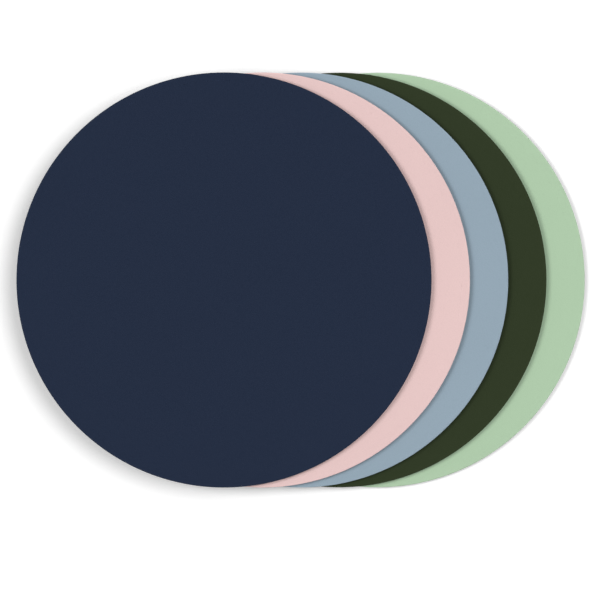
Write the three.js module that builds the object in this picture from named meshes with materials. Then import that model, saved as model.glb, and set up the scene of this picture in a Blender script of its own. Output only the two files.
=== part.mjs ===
// A set of five round mouse pads, fanned out one on another along X.
// Millimetres, +Z up. The origin lies on the desk, under the middle of the fan.
import * as THREE from 'three';

// Driving sizes of one pad
const PAD_DIAMETER = 200;
const FACE_THICKNESS = 0.8;
const FILM_THICKNESS = 0.1;
const CORE_THICKNESS = 0.9;
const BASE_THICKNESS = 0.5;

// Edges: the face's rolled rim, the core's drawn-in waist, the film's setback and the eased base
const FACE_ROLL_WIDTH = 0.7;
const FACE_ROLL_DROP = 0.4;
const CORE_WAIST_DEPTH = 0.12;
const FILM_SETBACK = 0.1;
const BASE_EDGE_RADIUS = 0.2;

// How the layers and the pads lie on each other
const LAYER_CLEARANCE = 0.02;
const PAD_CLEARANCE = 0.1;
const FAN_STEP = 18.5;

// Facets round the rim, over a rounded edge and down the core's waist
const RIM_FACETS = 72;
const EDGE_FACETS = 3;
const WAIST_FACETS = 4;

// Finishes that every pad shares
const FILM_FINISH = { color: 0xe4dcc6, roughness: 0.45 };
const CORE_FINISH = { color: 0x5d6062, roughness: 0.95 };
const BASE_FINISH = { color: 0x26282a, roughness: 0.9 };
const FACE_ROUGHNESS = 0.72;

// The pads from the bottom of the fan to its top, with the colour of each face
const PADS = [
  { name: 'light_green', faceColor: 0xb0cbac },
  { name: 'dark_green', faceColor: 0x323b28 },
  { name: 'blue_grey', faceColor: 0x95a7b5 },
  { name: 'pink', faceColor: 0xe7c8c6 },
  { name: 'navy', faceColor: 0x262f42 },
];

const rimRadius = PAD_DIAMETER / 2;

// A solid of revolution about Z. The outline runs from the axis below, round the rim, to the axis above.
function disc(outline, bottom, top) {
  const onAxisBelow = new THREE.Vector2(0, bottom);
  const onAxisAbove = new THREE.Vector2(0, top);
  const geometry = new THREE.LatheGeometry([onAxisBelow, ...outline, onAxisAbove], RIM_FACETS);
  return geometry.rotateX(Math.PI / 2);
}

// The face sheet is flat below, and the cutting die rolls its upper edge over in a quarter ellipse.
function faceSheet() {
  const drop = Math.min(FACE_ROLL_DROP, FACE_THICKNESS / 2);
  const rolledEdge = new THREE.EllipseCurve(
    rimRadius - FACE_ROLL_WIDTH,
    FACE_THICKNESS - drop,
    FACE_ROLL_WIDTH,
    drop,
    0,
    Math.PI / 2,
  );
  const lowerCorner = new THREE.Vector2(rimRadius, 0);
  return disc([lowerCorner, ...rolledEdge.getPoints(EDGE_FACETS)], 0, FACE_THICKNESS);
}

// A bond film ends a little short of the cut edge.
function bondFilm() {
  const radius = rimRadius - FILM_SETBACK;
  const lowerCorner = new THREE.Vector2(radius, 0);
  const upperCorner = new THREE.Vector2(radius, FILM_THICKNESS);
  return disc([lowerCorner, upperCorner], 0, FILM_THICKNESS);
}

// The core springs back after the cut, so its edge is drawn in at mid height.
function core() {
  const drawnInEdge = new THREE.QuadraticBezierCurve(
    new THREE.Vector2(rimRadius, 0),
    new THREE.Vector2(rimRadius - 2 * CORE_WAIST_DEPTH, CORE_THICKNESS / 2),
    new THREE.Vector2(rimRadius, CORE_THICKNESS),
  );
  return disc(drawnInEdge.getPoints(WAIST_FACETS), 0, CORE_THICKNESS);
}

// The grip base is flat above, and its lower edge is eased where it meets the desk.
function gripBase() {
  const radius = Math.min(BASE_EDGE_RADIUS, BASE_THICKNESS / 2);
  const easedEdge = new THREE.ArcCurve(rimRadius - radius, radius, radius, -Math.PI / 2, 0);
  const upperCorner = new THREE.Vector2(rimRadius, BASE_THICKNESS);
  return disc([...easedEdge.getPoints(EDGE_FACETS), upperCorner], 0, BASE_THICKNESS);
}

// The layers of a pad from the desk up, each with its height
function layersOf(pad) {
  const faceFinish = { color: pad.faceColor, roughness: FACE_ROUGHNESS };
  return [
    { name: 'grip_base', shape: gripBase, thickness: BASE_THICKNESS, finish: BASE_FINISH },
    { name: 'lower_bond_film', shape: bondFilm, thickness: FILM_THICKNESS, finish: FILM_FINISH },
    { name: 'core', shape: core, thickness: CORE_THICKNESS, finish: CORE_FINISH },
    { name: 'upper_bond_film', shape: bondFilm, thickness: FILM_THICKNESS, finish: FILM_FINISH },
    { name: 'face_sheet', shape: faceSheet, thickness: FACE_THICKNESS, finish: faceFinish },
  ];
}

// One pad, with its layers stacked from its own underside. Its height includes the clearances between layers.
function buildPad(pad) {
  const group = new THREE.Group();
  let height = 0;
  for (const layer of layersOf(pad)) {
    if (height > 0) {
      height += LAYER_CLEARANCE;
    }
    const material = new THREE.MeshStandardMaterial({ metalness: 0, ...layer.finish });
    const mesh = new THREE.Mesh(layer.shape(), material);
    mesh.name = `${pad.name}_${layer.name}`;
    mesh.position.z = height;
    group.add(mesh);
    height += layer.thickness;
  }
  return { group, height };
}

// The fan: each pad lies one step to the left of the pad that carries it.
function buildFan() {
  const fan = new THREE.Group();
  const middle = (PADS.length - 1) / 2;
  let underside = 0;
  PADS.forEach((pad, level) => {
    const { group, height } = buildPad(pad);
    group.position.set((middle - level) * FAN_STEP, 0, underside);
    fan.add(group);
    underside += height + PAD_CLEARANCE;
  });
  return fan;
}

export default buildFan();
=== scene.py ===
"""Looks for a fanned set of five round mouse pads, laid out as an add-on and run as a script.

Each pad is a die-cut laminate: a leatherette face, two bond films, a foam core and a rubber grip base.
Lengths are in metres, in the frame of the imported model, and colours are linear.
"""
import math

import bpy
from bpy.props import FloatProperty, FloatVectorProperty, IntProperty, PointerProperty
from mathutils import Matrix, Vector


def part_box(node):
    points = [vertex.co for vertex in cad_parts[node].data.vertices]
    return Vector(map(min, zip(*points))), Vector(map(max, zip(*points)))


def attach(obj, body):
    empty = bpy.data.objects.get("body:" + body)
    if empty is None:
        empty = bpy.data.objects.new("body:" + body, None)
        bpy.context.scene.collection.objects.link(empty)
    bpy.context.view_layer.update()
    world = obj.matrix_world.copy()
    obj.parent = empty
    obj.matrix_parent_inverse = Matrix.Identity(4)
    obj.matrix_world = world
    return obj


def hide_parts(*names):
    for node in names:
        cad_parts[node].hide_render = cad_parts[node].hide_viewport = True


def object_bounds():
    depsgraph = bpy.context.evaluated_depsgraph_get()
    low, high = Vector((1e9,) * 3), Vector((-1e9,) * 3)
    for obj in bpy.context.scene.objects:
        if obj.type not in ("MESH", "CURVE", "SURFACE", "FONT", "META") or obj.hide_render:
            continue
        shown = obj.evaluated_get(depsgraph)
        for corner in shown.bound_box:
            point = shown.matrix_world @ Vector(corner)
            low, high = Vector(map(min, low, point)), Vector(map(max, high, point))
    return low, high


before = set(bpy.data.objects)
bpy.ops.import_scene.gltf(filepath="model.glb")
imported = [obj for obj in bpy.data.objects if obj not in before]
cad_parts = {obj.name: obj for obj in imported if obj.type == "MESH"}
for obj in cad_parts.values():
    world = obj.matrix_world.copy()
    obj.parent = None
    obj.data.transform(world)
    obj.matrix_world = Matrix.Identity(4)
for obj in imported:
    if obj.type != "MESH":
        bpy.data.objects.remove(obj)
CAD_LOW, CAD_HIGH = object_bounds()

bl_info = {
    "name": "Fanned mouse pads",
    "version": (1, 0, 0),
    "blender": (4, 5, 0),
    "location": "View3D > Sidebar > Mouse pads",
    "description": "Models and finishes five round laminated mouse pads that lie in a fan",
    "category": "Object",
}

# The pads from the bottom of the fan to its top, and the layers of a pad from the desk up
PADS = ("light_green", "dark_green", "blue_grey", "pink", "navy")
LAYERS = ("grip_base", "lower_bond_film", "core", "upper_bond_film", "face_sheet")

# Each copy of a layer is turned further than the one before, so that no two lie alike
COPY_TURN = math.radians(37)

# Edges that turn by more than this are shaded as sharp ones
SHARP_ANGLE = math.radians(30)

# Points that a cut leaves closer than this are welded
WELD_DISTANCE = 0.000005

# The upward part of a face's normal beyond which the face looks up, or down where it is negative
FLAT_FACING = 0.5

# The flat plan of a round piece, which a bake of its finish goes through: the side that shows
# lies in the middle, the edge is drawn out to a ring round it, and the back is small in a corner
PLAN_NAME = "OFBake"
PLAN_MIDDLE = Vector((0.5, 0.5))
PLAN_REACH = 0.495
PLAN_RING = 0.006
PLAN_BACK_MIDDLE = Vector((0.91, 0.91))
PLAN_BACK_REACH = 0.08

# Leatherette grain: how far its pebbles are warped and how wide their rounded edges and the creases
# between them are, as shares of a pebble, then the wrinkles across a pebble and their share of its height
PEBBLE_WARP = 0.7
PEBBLE_EDGE = 0.28
CREASE_EDGE = 0.12
WRINKLE_RATE = 3.5
WRINKLE_SHARE = 0.25

# Handling polishes a rim in patches: how many lie along a metre, and how much of it the gaps get
TOUCH_RATE = 220.0
TOUCH_LEAST = 0.35

# The photograph's frame, in its own pixels
PHOTO_SIDE = 600
PHOTO_PAD_RADIUS = 207.4
PHOTO_FAN_MIDDLE = (300.8, 280.0)

WHITE = (1, 1, 1, 1)


def layer_size(layer):
    """The radius and the thickness of a layer, which all pads share."""
    low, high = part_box(f"{PADS[-1]}_{layer}")
    return (high.x - low.x) / 2, high.z - low.z


def length_property(name, description, default):
    """A length that a user may change."""
    return FloatProperty(name=name, description=description, default=default, unit="LENGTH", precision=5)


def share_property(name, description, default):
    """A part of a whole, from 0 to 1."""
    return FloatProperty(
        name=name, description=description, default=default, min=0, max=1, subtype="FACTOR"
    )


def angle_property(name, description, degrees):
    """An angle that a user may change."""
    return FloatProperty(name=name, description=description, default=math.radians(degrees), subtype="ANGLE")


def colour_property(name, description, default):
    """A linear colour."""
    return FloatVectorProperty(
        name=name, description=description, default=default, size=3, min=0, max=1, subtype="COLOR"
    )


class PadSizes(bpy.types.PropertyGroup):
    """Sizes of the details that are finer than the solids."""

    rim_steps: IntProperty(
        name="Rim steps", description="Points round each rim, a multiple of 4", default=256, min=64
    )
    edge_steps: IntProperty(name="Edge steps", description="Rings over each rounded edge", default=7, min=2)
    roll_width: length_property("Roll width", "How far in the die rolls over the face's upper edge", 0.0007)
    roll_drop: length_property("Roll drop", "How far down the rolled edge reaches", 0.0004)
    shoulder_width: length_property("Shoulder width", "How far the face still rises after its roll", 0.0035)
    shoulder_drop: length_property("Shoulder drop", "How far the face rises over its shoulder", 0.00006)
    corner: length_property("Corner", "Break of the sharp corners that the die leaves", 0.00003)
    film_waver: length_property("Film waver", "How unevenly the bond film ends", 0.00006)
    film_wave: length_property("Film wave", "Distance over which the bond film's end changes", 0.006)
    waist_depth: length_property("Waist depth", "How far the core's cut edge draws in", 0.00012)
    base_ease: length_property("Base ease", "Rounding of the grip base's lower edge", 0.0002)
    grid_pitch: length_property("Grid pitch", "Distance between the ribs of the grip", 0.003)
    grid_rib: length_property("Grid rib", "Width of a rib where it meets the desk", 0.0008)
    grid_slope: length_property("Grid slope", "Width of a rib's sloping flank", 0.0002)
    grid_depth: length_property("Grid depth", "Depth of the pockets between the ribs", 0.00015)


class PadFinishes(bpy.types.PropertyGroup):
    """Colours of the materials and sizes of their grain."""

    navy: colour_property("Navy face", "Colour of the top pad's face", (0.0108, 0.0190, 0.0425))
    pink: colour_property("Pink face", "Colour of the second pad's face", (0.778, 0.561, 0.548))
    blue_grey: colour_property("Blue-grey face", "Colour of the middle pad's face", (0.290, 0.376, 0.449))
    dark_green: colour_property(
        "Dark green face", "Colour of the fourth pad's face", (0.0223, 0.0329, 0.0126)
    )
    light_green: colour_property(
        "Light green face", "Colour of the bottom pad's face", (0.423, 0.584, 0.402)
    )
    backing: colour_property("Backing", "Undyed cloth behind the face's skin", (0.33, 0.32, 0.30))
    film: colour_property("Film", "Milky bond film", (0.72, 0.67, 0.54))
    foam: colour_property("Foam", "Cut edge of the core", (0.085, 0.090, 0.094))
    rubber: colour_property("Rubber", "Grip base", (0.019, 0.021, 0.023))
    pebble: length_property("Pebble", "Size of the leatherette's grain", 0.0008)
    grain_height: length_property("Grain height", "Height of the leatherette's grain", 0.00002)
    cell: length_property("Foam cell", "Size of the foam's cells", 0.00016)


class StageSettings(bpy.types.PropertyGroup):
    """Camera, light and floor."""

    camera_height: length_property("Camera height", "Distance of the camera from the pads", 6.0)
    dome: share_property("Dome", "Share of the light that comes evenly from all round", 0.27)
    right_share: share_property("Right share", "Share of the light that comes from the right soft box", 0.4)
    right_turn: angle_property("Right turn", "Bearing of the right soft box, from +X towards +Y", 23)
    right_tilt: angle_property("Right tilt", "Angle of the right soft box from straight above", 33)
    right_spread: angle_property("Right spread", "Angle that the right soft box fills from the pads", 44)
    left_share: share_property("Left share", "Share of the light that comes from the left soft box", 0.33)
    left_turn: angle_property("Left turn", "Bearing of the left soft box, from +X towards +Y", 178)
    left_tilt: angle_property("Left tilt", "Angle of the left soft box from straight above", 40)
    left_spread: angle_property("Left spread", "Angle that the left soft box fills from the pads", 32)
    floor_glow: share_property("Floor glow", "What the floor adds to its own light where it shows", 0.11)
    floor_size: length_property("Floor size", "Side of the square floor", 8.0)
    floor_gap: length_property("Floor gap", "Gap between the lowest pad and the floor", 0.0001)
    floor_contact: length_property(
        "Floor contact", "Reach within which the floor lets light through from below", 0.0008
    )


def edit_faces(piece, chosen):
    """Opens a piece for editing with just the faces selected that chosen holds for."""
    bpy.context.view_layer.objects.active = piece
    bpy.ops.object.mode_set(mode="EDIT")
    bpy.ops.mesh.select_mode(type="FACE")
    bpy.ops.mesh.select_all(action="DESELECT")
    bpy.ops.object.mode_set(mode="OBJECT")
    for face in piece.data.polygons:
        face.select = chosen(face)
    bpy.ops.object.mode_set(mode="EDIT")


def start_disc(name, steps, ring):
    """Adds a flat disc about Z of a ring's radius and height, open for editing with its face selected."""
    radius, height = ring
    bpy.ops.object.select_all(action="DESELECT")
    bpy.ops.mesh.primitive_circle_add(
        vertices=steps, radius=radius, fill_type="NGON", location=(0, 0, height)
    )
    bpy.ops.object.transform_apply(location=True)
    disc = bpy.context.object
    disc.name = name
    edit_faces(disc, lambda face: True)
    return disc


def raise_edge(rings):
    """Draws the selected face up through rings, each a radius and a height; the first is where it lies."""
    for (radius, height), (next_radius, next_height) in zip(rings, rings[1:]):
        bpy.ops.mesh.extrude_region_move(TRANSFORM_OT_translate={"value": (0, 0, next_height - height)})
        scale = next_radius / radius
        bpy.ops.transform.resize(value=(scale, scale, 1), center_override=(0, 0, next_height))


def fill_flat(span):
    """Puts an even grid of quads in place of the selected face."""
    bpy.ops.mesh.delete(type="ONLY_FACE")
    bpy.ops.mesh.select_mode(type="EDGE")
    bpy.ops.mesh.select_all(action="DESELECT")
    bpy.ops.mesh.select_non_manifold()
    bpy.ops.mesh.fill_grid(span=span)


def close_shape(piece):
    """Turns all faces outwards, leaves edit mode and shades the piece smooth between its sharp edges."""
    bpy.ops.mesh.select_all(action="SELECT")
    bpy.ops.mesh.normals_make_consistent(inside=False)
    bpy.ops.object.mode_set(mode="OBJECT")
    bpy.ops.object.select_all(action="DESELECT")
    piece.select_set(True)
    bpy.context.view_layer.objects.active = piece
    bpy.ops.object.shade_smooth_by_angle(angle=SHARP_ANGLE)


def lay_out_plan(piece, layer, shown):
    """Gives a round piece its flat plan. The side that shows is the upper one at 1, the lower at -1."""
    radius, thickness = layer_size(layer)
    scale = PLAN_REACH / (radius + PLAN_RING)
    plan = piece.data.uv_layers.new(name=PLAN_NAME)
    for face in piece.data.polygons:
        facing = face.normal.z * shown
        for loop in face.loop_indices:
            corner = piece.data.vertices[piece.data.loops[loop].vertex_index].co
            if facing > FLAT_FACING:
                spot = PLAN_MIDDLE + corner.xy * scale
            elif facing < -FLAT_FACING:
                spot = PLAN_BACK_MIDDLE + corner.xy * PLAN_BACK_REACH / radius
            else:
                depth = 0.5 - shown * (corner.z / thickness - 0.5)
                spot = PLAN_MIDDLE + corner.xy.normalized() * (radius + PLAN_RING * depth) * scale
            plan.uv[loop].vector = spot


def model_face_sheet(sizes):
    """A face sheet with a cut wall, a rolled upper edge and a shoulder that rises to the flat."""
    radius, thickness = layer_size("face_sheet")
    crown = thickness - sizes.shoulder_drop
    drop = sizes.roll_drop - sizes.shoulder_drop
    rings = [(radius - sizes.corner, 0), (radius, sizes.corner)]
    for step in range(sizes.edge_steps + 1):
        angle = math.pi / 2 * step / sizes.edge_steps
        inward = sizes.roll_width * (1 - math.cos(angle))
        rings.append((radius - inward, crown - drop * (1 - math.sin(angle))))
    for step in range(1, sizes.edge_steps + 1):
        along = step / sizes.edge_steps
        inward = sizes.roll_width + sizes.shoulder_width * along
        rings.append((radius - inward, thickness - sizes.shoulder_drop * (1 - along) ** 2))
    flat_radius = rings[-1][0] - sizes.roll_width
    rings.append((flat_radius, thickness))
    sheet = start_disc("face sheet", sizes.rim_steps, rings[0])
    raise_edge(rings)
    fill_flat(sizes.rim_steps // 4)
    close_shape(sheet)
    lay_out_plan(sheet, "face_sheet", 1)
    return sheet


def model_bond_film(sizes):
    """A bond film whose squeezed-out edge is a small uneven bead."""
    radius, thickness = layer_size("upper_bond_film")
    bead = thickness / 2
    end = radius - sizes.film_waver
    rings = []
    for step in range(sizes.edge_steps + 1):
        angle = math.pi * (step / sizes.edge_steps - 0.5)
        rings.append((end - bead * (1 - math.cos(angle)), bead * (1 + math.sin(angle))))
    film = start_disc("bond film", sizes.rim_steps, rings[0])
    raise_edge(rings)
    close_shape(film)

    # The bead runs out further at some places than at others
    for direction, noise in (("X", "BLENDER_ORIGINAL"), ("Y", "IMPROVED_PERLIN")):
        waves = bpy.data.textures.new(f"film waver {direction}", "CLOUDS")
        waves.noise_basis = noise
        waves.noise_scale = sizes.film_wave
        waver = film.modifiers.new(waves.name, "DISPLACE")
        waver.texture = waves
        waver.texture_coords = "LOCAL"
        waver.direction = direction
        waver.strength = 2 * sizes.film_waver
        bpy.ops.object.modifier_apply(modifier=waver.name)
    lay_out_plan(film, "upper_bond_film", 1)
    return film


def model_foam_core(sizes):
    """A foam core whose cut edge draws in at mid height."""
    radius, thickness = layer_size("core")
    rings = []
    for step in range(sizes.edge_steps + 1):
        along = step / sizes.edge_steps
        inward = sizes.waist_depth * 4 * along * (1 - along)
        rings.append((radius - inward, thickness * along))
    core = start_disc("foam core", sizes.rim_steps, rings[0])
    raise_edge(rings)
    close_shape(core)
    lay_out_plan(core, "core", 1)
    return core


def model_base_die(sizes):
    """The die that cuts a grip base round and eases its lower edge. It reaches past both of its faces."""
    radius, thickness = layer_size("grip_base")
    ease = sizes.base_ease
    rings = [(radius - ease, -thickness)]
    for step in range(sizes.edge_steps + 1):
        angle = math.pi / 2 * step / sizes.edge_steps
        rings.append((radius - ease * (1 - math.sin(angle)), ease * (1 - math.cos(angle))))
    rings.append((radius, 2 * thickness))
    die = start_disc("base die", sizes.rim_steps, rings[0])
    raise_edge(rings)
    close_shape(die)
    return die


def model_ribbed_sheet(sizes):
    """A rubber sheet that reaches past its die, with a grid of raised ribs under it."""
    radius, thickness = layer_size("grip_base")
    cells = math.ceil(2 * radius / sizes.grid_pitch) + 2
    reach = radius + sizes.grid_pitch
    bpy.ops.object.select_all(action="DESELECT")
    bpy.ops.mesh.primitive_grid_add(
        x_subdivisions=cells, y_subdivisions=cells, size=cells * sizes.grid_pitch, location=(0, 0, 0)
    )
    sheet = bpy.context.object
    sheet.name = "grip base"

    # The cells that lie off the die go, and the others get a back of one face
    edit_faces(sheet, lambda face: min(sheet.data.vertices[i].co.length for i in face.vertices) > reach)
    bpy.ops.mesh.delete(type="FACE")
    bpy.ops.mesh.select_all(action="SELECT")
    bpy.ops.mesh.extrude_region_move(TRANSFORM_OT_translate={"value": (0, 0, thickness)})
    bpy.ops.mesh.select_all(action="SELECT")
    bpy.ops.mesh.normals_make_consistent(inside=False)
    edit_faces(sheet, lambda face: face.normal.z > FLAT_FACING)
    bpy.ops.mesh.dissolve_faces()

    # A pocket in each cell leaves the ribs between them
    edit_faces(sheet, lambda face: face.normal.z < -FLAT_FACING)
    bpy.ops.mesh.inset(thickness=sizes.grid_rib / 2, depth=0, use_individual=True)
    bpy.ops.mesh.inset(thickness=sizes.grid_slope, depth=-sizes.grid_depth, use_individual=True)
    bpy.ops.object.mode_set(mode="OBJECT")
    return sheet


def cut_out(sheet, die):
    """Cuts the active sheet to the shape of a die, and takes the die away."""
    cut = sheet.modifiers.new("die cut", "BOOLEAN")
    cut.operation = "INTERSECT"
    cut.solver = "MANIFOLD"
    cut.object = die
    bpy.ops.object.modifier_apply(modifier=cut.name)
    bpy.ops.object.select_all(action="DESELECT")
    die.select_set(True)
    bpy.ops.object.delete()

    # The cut leaves an empty material slot, points too close to each other and faces of many corners
    sheet.data.materials.clear()
    edit_faces(sheet, lambda face: True)
    bpy.ops.mesh.remove_doubles(threshold=WELD_DISTANCE)
    edit_faces(sheet, lambda face: len(face.vertices) > 4 and face.normal.z < FLAT_FACING)
    bpy.ops.mesh.quads_convert_to_tris(quad_method="BEAUTY", ngon_method="BEAUTY")
    close_shape(sheet)


def model_grip_base(sizes):
    """A ribbed rubber sheet, cut round by its die."""
    radius, thickness = layer_size("grip_base")
    die = model_base_die(sizes)
    base = model_ribbed_sheet(sizes)
    cut_out(base, die)
    lay_out_plan(base, "grip_base", -1)

    # How far each point lies into a pocket, for the rubber's roughness and the painted shade in its pockets
    depth = base.data.attributes.new("pocket", "FLOAT", "POINT")
    flat_radius = radius - sizes.base_ease
    for point, corner in zip(depth.data, base.data.vertices):
        below = corner.co.xy.length < flat_radius and corner.co.z < thickness / 2
        point.value = corner.co.z / sizes.grid_depth if below else 0
    return base


def lay_copies(master, layer, words):
    """Copies a layer's model to its place in each pad, and yields each pad with its piece."""
    for level, pad in enumerate(PADS):
        low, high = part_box(f"{pad}_{layer}")
        bpy.ops.object.select_all(action="DESELECT")
        master.select_set(True)
        bpy.context.view_layer.objects.active = master
        bpy.ops.object.duplicate(linked=False)
        piece = bpy.context.object
        piece.name = f"{pad}_{words}"
        piece.data.name = piece.name
        piece.location = ((low.x + high.x) / 2, (low.y + high.y) / 2, low.z)
        piece.rotation_euler.z = COPY_TURN * (LAYERS.index(layer) + level * len(LAYERS))
        bpy.ops.object.transform_apply(location=True, rotation=True, scale=True)
        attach(piece, f"{pad}_pad")
        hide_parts(f"{pad}_{layer}")
        yield pad, piece
    bpy.ops.object.select_all(action="DESELECT")
    master.select_set(True)
    bpy.ops.object.delete()


def place(tree, kind, inputs=(), **settings):
    """Adds a node. Each input gets a value, or is joined to the output that is given for it."""
    node = tree.nodes.new(kind)
    for name, value in settings.items():
        setattr(node, name, value)
    for socket, value in dict(inputs).items():
        if isinstance(value, bpy.types.NodeSocket):
            tree.links.new(value, node.inputs[socket])
        else:
            node.inputs[socket].default_value = value
    return node


def math_node(tree, operation, first, second=0.5):
    """The output of a Math node."""
    return place(tree, "ShaderNodeMath", {0: first, 1: second}, operation=operation).outputs[0]


def vector_node(tree, operation, inputs, output="Vector"):
    """The output of a Vector Math node."""
    return place(tree, "ShaderNodeVectorMath", inputs, operation=operation).outputs[output]


def eased(tree, value, start, end, span=(0, 1)):
    """The output of a Map Range node that eases from start to end while a value runs through its span."""
    inputs = {0: value, 1: span[0], 2: span[1], 3: start, 4: end}
    return place(tree, "ShaderNodeMapRange", inputs, interpolation_type="SMOOTHSTEP").outputs[0]


def grain_noise(tree, vector, scale, detail):
    """The output of a Noise texture."""
    inputs = {"Vector": vector, "Scale": scale, "Detail": detail, "Roughness": 0.55}
    return place(tree, "ShaderNodeTexNoise", inputs).outputs["Fac"]


def start_group(name, inputs, outputs):
    """A shader node group with named inputs and outputs, each a name and a kind of socket."""
    group = bpy.data.node_groups.new(name, "ShaderNodeTree")
    for socket, kind in inputs:
        group.interface.new_socket(socket, in_out="INPUT", socket_type=f"NodeSocket{kind}")
    for socket, kind in outputs:
        group.interface.new_socket(socket, in_out="OUTPUT", socket_type=f"NodeSocket{kind}")
    return group, group.nodes.new("NodeGroupInput").outputs, group.nodes.new("NodeGroupOutput").inputs


def use_group(tree, name, build, inputs):
    """Places a shared node group in a material, and builds it the first time."""
    group = bpy.data.node_groups.get(name) or build(name)
    return place(tree, "ShaderNodeGroup", inputs, node_tree=group).outputs


def build_pebble_grain(name):
    """Leatherette grain: flat-topped pebbles with fine creases between them and finer wrinkles on top."""
    group, given, result = start_group(
        name, [("Vector", "Vector"), ("Pebble", "Float")], [("Height", "Float"), ("Crease", "Float")]
    )
    rate = math_node(group, "DIVIDE", 1.0, given["Pebble"])
    cells = vector_node(group, "SCALE", {0: given["Vector"], "Scale": rate})
    warp = place(
        group, "ShaderNodeTexNoise", {"Vector": cells, "Scale": 0.8, "Detail": 1.0}
    ).outputs["Color"]
    warped = vector_node(group, "MULTIPLY_ADD", {0: warp, 1: (PEBBLE_WARP,) * 3, 2: cells})
    edges = place(
        group, "ShaderNodeTexVoronoi", {"Vector": warped, "Scale": 1.0}, feature="DISTANCE_TO_EDGE"
    ).outputs["Distance"]
    pebble = eased(group, edges, 0.0, 1.0, span=(0.0, PEBBLE_EDGE))
    wrinkle = grain_noise(group, cells, WRINKLE_RATE, 3.0)
    high = math_node(group, "MULTIPLY", pebble, 1 - WRINKLE_SHARE)
    fine = math_node(group, "MULTIPLY", wrinkle, WRINKLE_SHARE)
    group.links.new(math_node(group, "ADD", high, fine), result["Height"])
    group.links.new(eased(group, edges, 1.0, 0.0, span=(0.0, CREASE_EDGE)), result["Crease"])
    return group


def build_tone_drift(name):
    """Slow change of tone over a surface, as a factor about 1."""
    group, given, result = start_group(
        name, [("Vector", "Vector"), ("Patch", "Float"), ("Strength", "Float")], [("Tone", "Float")]
    )
    rate = math_node(group, "DIVIDE", 1.0, given["Patch"])
    noise = grain_noise(group, given["Vector"], rate, 2.0)
    centred = math_node(group, "SUBTRACT", noise, 0.5)
    swing = math_node(group, "MULTIPLY", centred, given["Strength"])
    group.links.new(math_node(group, "ADD", swing, 1.0), result["Tone"])
    return group


def build_rim_touch(name):
    """Mask of a band along a round rim, broken up as by handling. The vector starts at the pad's middle."""
    group, given, result = start_group(
        name, [("Vector", "Vector"), ("Radius", "Float"), ("Width", "Float")], [("Mask", "Float")]
    )
    flat = vector_node(group, "MULTIPLY", {0: given["Vector"], 1: (1, 1, 0)})
    reach = vector_node(group, "LENGTH", {0: flat}, "Value")
    inside = math_node(group, "SUBTRACT", given["Radius"], reach)
    near = math_node(group, "DIVIDE", inside, given["Width"])
    band = eased(group, near, 1.0, 0.0)
    spots = grain_noise(group, given["Vector"], TOUCH_RATE, 3.0)
    patches = eased(group, spots, TOUCH_LEAST, 1.0, span=(0.3, 0.7))
    group.links.new(math_node(group, "MULTIPLY", band, patches), result["Mask"])
    return group


def build_fine_cells(name):
    """Small rounded cells, as cut foam and cloth show them: their height, and a mask of the hollows."""
    group, given, result = start_group(
        name, [("Vector", "Vector"), ("Cell", "Float")], [("Height", "Float"), ("Hollow", "Float")]
    )
    rate = math_node(group, "DIVIDE", 1.0, given["Cell"])
    inputs = {"Vector": given["Vector"], "Scale": rate, "Detail": 1.5, "Roughness": 0.6, "Lacunarity": 1.9}
    cells = place(group, "ShaderNodeTexVoronoi", inputs, normalize=True).outputs["Distance"]
    group.links.new(eased(group, cells, 0.0, 1.0, span=(0.1, 0.6)), result["Height"])
    group.links.new(eased(group, cells, 1.0, 0.0, span=(0.12, 0.42)), result["Hollow"])
    return group


def start_material(name, specular):
    """A material with its Principled shader, and the object's coordinates."""
    material = bpy.data.materials.new(name)
    material.use_nodes = True
    tree = material.node_tree
    shader = tree.nodes["Principled BSDF"]
    shader.inputs["Specular IOR Level"].default_value = specular
    coordinates = tree.nodes.new("ShaderNodeTexCoord").outputs["Object"]
    return material, tree, shader, coordinates


def tint(tree, shader, colour, factor):
    """Gives a shader a colour times a factor that changes over the surface."""
    tinted = vector_node(tree, "SCALE", {0: colour, "Scale": factor})
    tree.links.new(tinted, shader.inputs["Base Color"])


def bump(tree, shader, height, distance):
    """Raises the surface by a height that changes over it."""
    inputs = {"Height": height, "Distance": distance, "Strength": 1.0}
    tree.links.new(place(tree, "ShaderNodeBump", inputs).outputs["Normal"], shader.inputs["Normal"])


def leatherette(pad, finishes):
    """The matt, fine-grained skin of one pad's face, with painted shade in its creases."""
    material, tree, shader, coordinates = start_material(f"{pad} leatherette", specular=0.12)
    low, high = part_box(f"{pad}_face_sheet")
    middle = (low + high) / 2
    centred = place(
        tree, "ShaderNodeMapping", {"Vector": coordinates, "Location": (-middle.x, -middle.y, -low.z)}
    ).outputs["Vector"]
    grain = use_group(
        tree, "pebble grain", build_pebble_grain, {"Vector": coordinates, "Pebble": finishes.pebble}
    )
    drift = use_group(
        tree, "tone drift", build_tone_drift, {"Vector": coordinates, "Patch": 0.05, "Strength": 0.05}
    )
    radius, _ = layer_size("face_sheet")
    touch = use_group(
        tree, "rim touch", build_rim_touch, {"Vector": centred, "Radius": radius, "Width": 0.0012}
    )
    # The creases between the pebbles are painted darker, which is painted shade, and the rim is lighter in
    # patches from wear
    painted_crease_shade = math_node(tree, "MULTIPLY", drift["Tone"], eased(tree, grain["Crease"], 1.005, 0.965))
    wear_and_crease_shade = math_node(tree, "MULTIPLY", painted_crease_shade, eased(tree, touch["Mask"], 1.0, 1.06))
    tint(tree, shader, getattr(finishes, pad), wear_and_crease_shade)
    matt = eased(tree, grain["Height"], 0.80, 0.68)
    handled = math_node(tree, "SUBTRACT", matt, eased(tree, touch["Mask"], 0.0, 0.08))
    tree.links.new(handled, shader.inputs["Roughness"])
    bump(tree, shader, grain["Height"], distance=finishes.grain_height)
    return material


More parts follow.
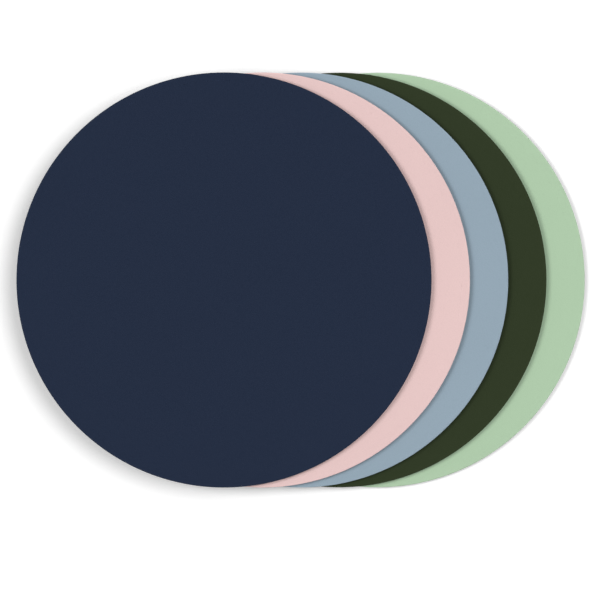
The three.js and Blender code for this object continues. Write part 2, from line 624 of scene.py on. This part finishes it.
def backing_cloth(finishes):
    """The knitted cloth behind the skin, seen on the cut, with painted shade in its hollows."""
    material, tree, shader, coordinates = start_material("backing cloth", specular=0.1)
    fibres = use_group(tree, "fine cells", build_fine_cells, {"Vector": coordinates, "Cell": 0.0002})
    drift = use_group(
        tree, "tone drift", build_tone_drift, {"Vector": coordinates, "Patch": 0.004, "Strength": 0.3}
    )
    # The hollows between the fibres are painted darker, which is painted shade
    shade = math_node(tree, "MULTIPLY", drift["Tone"], eased(tree, fibres["Hollow"], 1.0, 0.75))
    tint(tree, shader, finishes.backing, shade)
    tree.links.new(eased(tree, fibres["Height"], 0.95, 0.85), shader.inputs["Roughness"])
    bump(tree, shader, fibres["Height"], distance=0.00005)
    return material


def bond_film(finishes):
    """Milky hot-melt film."""
    material, tree, shader, coordinates = start_material("bond film", specular=0.3)
    drift = use_group(
        tree, "tone drift", build_tone_drift, {"Vector": coordinates, "Patch": 0.003, "Strength": 0.35}
    )
    tint(tree, shader, finishes.film, drift["Tone"])
    tree.links.new(eased(tree, drift["Tone"], 0.35, 0.6, span=(0.9, 1.1)), shader.inputs["Roughness"])
    return material


def cut_foam(finishes):
    """Dense closed-cell foam, open on the cut, with painted shade in its open cells."""
    material, tree, shader, coordinates = start_material("cut foam", specular=0.1)
    cells = use_group(tree, "fine cells", build_fine_cells, {"Vector": coordinates, "Cell": finishes.cell})
    drift = use_group(
        tree, "tone drift", build_tone_drift, {"Vector": coordinates, "Patch": 0.006, "Strength": 0.25}
    )
    # The open cells on the cut are painted darker, which is painted shade
    shade = math_node(tree, "MULTIPLY", drift["Tone"], eased(tree, cells["Hollow"], 1.1, 0.55))
    tint(tree, shader, finishes.foam, shade)
    tree.links.new(eased(tree, cells["Height"], 0.98, 0.86), shader.inputs["Roughness"])
    bump(tree, shader, cells["Height"], distance=0.00006)
    return material


def grip_rubber(finishes):
    """Charcoal rubber, a little polished and dusty on the ribs, and painted darker into the pockets as
    painted shade.
    """
    material, tree, shader, coordinates = start_material("grip rubber", specular=0.3)
    cells = use_group(tree, "fine cells", build_fine_cells, {"Vector": coordinates, "Cell": 0.0003})
    drift = use_group(
        tree, "tone drift", build_tone_drift, {"Vector": coordinates, "Patch": 0.02, "Strength": 0.5}
    )
    pocket = place(tree, "ShaderNodeAttribute", attribute_name="pocket").outputs["Fac"]
    # Lighter on the ribs, as dust, and darker into the pockets, which is painted shade
    dust_and_pocket_shade = math_node(tree, "MULTIPLY", drift["Tone"], eased(tree, pocket, 1.15, 0.75))
    tint(tree, shader, finishes.rubber, dust_and_pocket_shade)
    matt = eased(tree, pocket, 0.62, 0.9)
    tree.links.new(math_node(tree, "MULTIPLY", matt, drift["Tone"]), shader.inputs["Roughness"])
    bump(tree, shader, cells["Height"], distance=0.00002)
    return material


class MOUSEPADS_OT_grip_bases(bpy.types.Operator):
    """Models the rubber grip base of each pad"""

    bl_idname = "mouse_pads.grip_bases"
    bl_label = "Grip bases"

    def execute(self, context):
        rubber = grip_rubber(context.scene.pad_finishes)
        master = model_grip_base(context.scene.pad_sizes)
        master.data.materials.append(rubber)
        for pad, base in lay_copies(master, "grip_base", "rubber_base"):
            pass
        return {"FINISHED"}


class MOUSEPADS_OT_bond_films(bpy.types.Operator):
    """Models the two bond films of each pad"""

    bl_idname = "mouse_pads.bond_films"
    bl_label = "Bond films"

    def execute(self, context):
        milky = bond_film(context.scene.pad_finishes)
        for side, carrier in (("lower", "grip_base"), ("upper", "core")):
            master = model_bond_film(context.scene.pad_sizes)
            master.data.materials.append(milky)
            layer = f"{side}_bond_film"
            for pad, film in lay_copies(master, layer, f"{side}_glue_film"):
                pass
        return {"FINISHED"}


class MOUSEPADS_OT_foam_cores(bpy.types.Operator):
    """Models the foam core of each pad"""

    bl_idname = "mouse_pads.foam_cores"
    bl_label = "Foam cores"

    def execute(self, context):
        foam = cut_foam(context.scene.pad_finishes)
        master = model_foam_core(context.scene.pad_sizes)
        master.data.materials.append(foam)
        for _, core in lay_copies(master, "core", "foam_core"):
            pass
        return {"FINISHED"}


class MOUSEPADS_OT_face_sheets(bpy.types.Operator):
    """Models the coloured leatherette face of each pad"""

    bl_idname = "mouse_pads.face_sheets"
    bl_label = "Face sheets"

    def execute(self, context):
        finishes = context.scene.pad_finishes
        sizes = context.scene.pad_sizes
        cloth = backing_cloth(finishes)
        master = model_face_sheet(sizes)
        _, thickness = layer_size("face_sheet")
        skin_edge = thickness - sizes.roll_drop
        for face in master.data.polygons:
            face.material_index = 1 if face.center.z < skin_edge else 0
        for pad, sheet in lay_copies(master, "face_sheet", "leatherette_face"):
            sheet.data.materials.append(leatherette(pad, finishes))
            sheet.data.materials.append(cloth)
        return {"FINISHED"}


def seen_rays(tree):
    """1 for rays that show a surface, plainly, in a gloss or through a clear piece, and else 0."""
    path = tree.nodes.new("ShaderNodeLightPath").outputs
    seen = math_node(tree, "MAXIMUM", path["Is Camera Ray"], path["Is Glossy Ray"])
    return math_node(tree, "MAXIMUM", seen, path["Is Transmission Ray"])


def light_world(settings):
    """An even white dome that lights by its share and shows as white."""
    world = bpy.data.worlds.new("studio dome")
    bpy.context.scene.world = world
    world.use_nodes = True
    tree = world.node_tree
    tree.nodes.clear()
    strength = math_node(tree, "MAXIMUM", seen_rays(tree), settings.dome)
    dome = place(tree, "ShaderNodeBackground", {"Color": WHITE, "Strength": strength}).outputs[0]
    place(tree, "ShaderNodeOutputWorld", {"Surface": dome})


def hang_soft_box(name, level, turn, tilt, opening):
    """A soft light from far off that gives a face which looks up this level of light."""
    bpy.ops.object.select_all(action="DESELECT")
    bpy.ops.object.light_add(type="SUN", location=(0, 0, 1))
    soft_box = bpy.context.object
    soft_box.name = name
    towards = Vector((math.sin(tilt) * math.cos(turn), math.sin(tilt) * math.sin(turn), math.cos(tilt)))
    soft_box.rotation_euler = towards.to_track_quat("Z", "Y").to_euler()
    soft_box.data.angle = opening
    falling_level = math.cos(tilt) * (1 + math.cos(opening / 2)) / 2
    soft_box.data.energy = level * math.pi / falling_level


def lay_floor(settings):
    """A plain white floor that keeps the shadow, and that can be seen through from below."""
    bpy.ops.object.select_all(action="DESELECT")
    bpy.ops.mesh.primitive_plane_add(
        size=settings.floor_size, location=(0, 0, CAD_LOW.z - settings.floor_gap)
    )
    floor = bpy.context.object
    floor.name = "floor"
    material = bpy.data.materials.new("white floor")
    material.use_nodes = True
    tree = material.node_tree
    tree.nodes.clear()
    returned = place(tree, "ShaderNodeBsdfDiffuse", {"Color": WHITE}).outputs[0]
    strength = math_node(tree, "MULTIPLY", seen_rays(tree), settings.floor_glow)
    glow = place(tree, "ShaderNodeEmission", {"Color": WHITE, "Strength": strength}).outputs[0]
    shown = place(tree, "ShaderNodeAddShader", {0: returned, 1: glow}).outputs[0]
    clear = tree.nodes.new("ShaderNodeBsdfTransparent").outputs[0]
    below = tree.nodes.new("ShaderNodeNewGeometry").outputs["Backfacing"]
    reach = tree.nodes.new("ShaderNodeLightPath").outputs["Ray Length"]
    apart = math_node(tree, "GREATER_THAN", reach, settings.floor_contact)
    solid = math_node(tree, "MULTIPLY", math_node(tree, "SUBTRACT", 1.0, below), apart)
    surface = place(tree, "ShaderNodeMixShader", {0: solid, 1: clear, 2: shown}).outputs[0]
    place(tree, "ShaderNodeOutputMaterial", {"Surface": surface})
    floor.data.materials.append(material)


def set_camera(settings):
    """A camera that looks straight down, through a long lens, at the photograph's frame."""
    radius, _ = layer_size("face_sheet")
    pixel = radius / PHOTO_PAD_RADIUS
    middle = (CAD_LOW + CAD_HIGH) / 2
    across = middle.x + (PHOTO_SIDE / 2 - PHOTO_FAN_MIDDLE[0]) * pixel
    along = middle.y - (PHOTO_SIDE / 2 - PHOTO_FAN_MIDDLE[1]) * pixel
    height = middle.z + settings.camera_height
    bpy.ops.object.camera_add(location=(across, along, height), rotation=(0, 0, 0))
    camera = bpy.context.object
    camera.name = "camera"
    camera.data.lens = camera.data.sensor_width * settings.camera_height / (PHOTO_SIDE * pixel)
    camera.data.clip_end = 2 * settings.camera_height
    bpy.context.scene.camera = camera


class MOUSEPADS_OT_stage(bpy.types.Operator):
    """Sets up the floor, the light and the camera"""

    bl_idname = "mouse_pads.stage"
    bl_label = "Stage"

    def execute(self, context):
        settings = context.scene.pad_stage
        context.scene.view_settings.view_transform = "Standard"
        light_world(settings)
        for side in ("right", "left"):
            level, turn, tilt, opening = (
                getattr(settings, f"{side}_{value}") for value in ("share", "turn", "tilt", "spread")
            )
            hang_soft_box(f"{side} soft box", level, turn, tilt, opening)
        lay_floor(settings)
        set_camera(settings)
        return {"FINISHED"}


OPERATORS = (
    MOUSEPADS_OT_grip_bases,
    MOUSEPADS_OT_bond_films,
    MOUSEPADS_OT_foam_cores,
    MOUSEPADS_OT_face_sheets,
    MOUSEPADS_OT_stage,
)


class MOUSEPADS_PT_sidebar(bpy.types.Panel):
    """Lists the steps and the values they use"""

    bl_idname = "MOUSEPADS_PT_sidebar"
    bl_label = "Fanned mouse pads"
    bl_space_type = "VIEW_3D"
    bl_region_type = "UI"
    bl_category = "Mouse pads"

    def draw(self, context):
        column = self.layout.column()
        for operator in OPERATORS:
            column.operator(operator.bl_idname)
        for group in (context.scene.pad_sizes, context.scene.pad_finishes, context.scene.pad_stage):
            box = self.layout.box()
            for name in group.__annotations__:
                box.prop(group, name)


CLASSES = (PadSizes, PadFinishes, StageSettings, *OPERATORS, MOUSEPADS_PT_sidebar)


def register():
    """Registers the classes, and gives each scene its settings."""
    for entry in CLASSES:
        bpy.utils.register_class(entry)
    bpy.types.Scene.pad_sizes = PointerProperty(type=PadSizes)
    bpy.types.Scene.pad_finishes = PointerProperty(type=PadFinishes)
    bpy.types.Scene.pad_stage = PointerProperty(type=StageSettings)


def unregister():
    """Takes the settings and the classes away again."""
    del bpy.types.Scene.pad_stage
    del bpy.types.Scene.pad_finishes
    del bpy.types.Scene.pad_sizes
    for entry in reversed(CLASSES):
        bpy.utils.unregister_class(entry)


def main():
    """Builds the pads and their stage."""
    register()
    bpy.ops.mouse_pads.grip_bases()
    bpy.ops.mouse_pads.bond_films()
    bpy.ops.mouse_pads.foam_cores()
    bpy.ops.mouse_pads.face_sheets()
    bpy.ops.mouse_pads.stage()


if __name__ == "__main__":
    main()
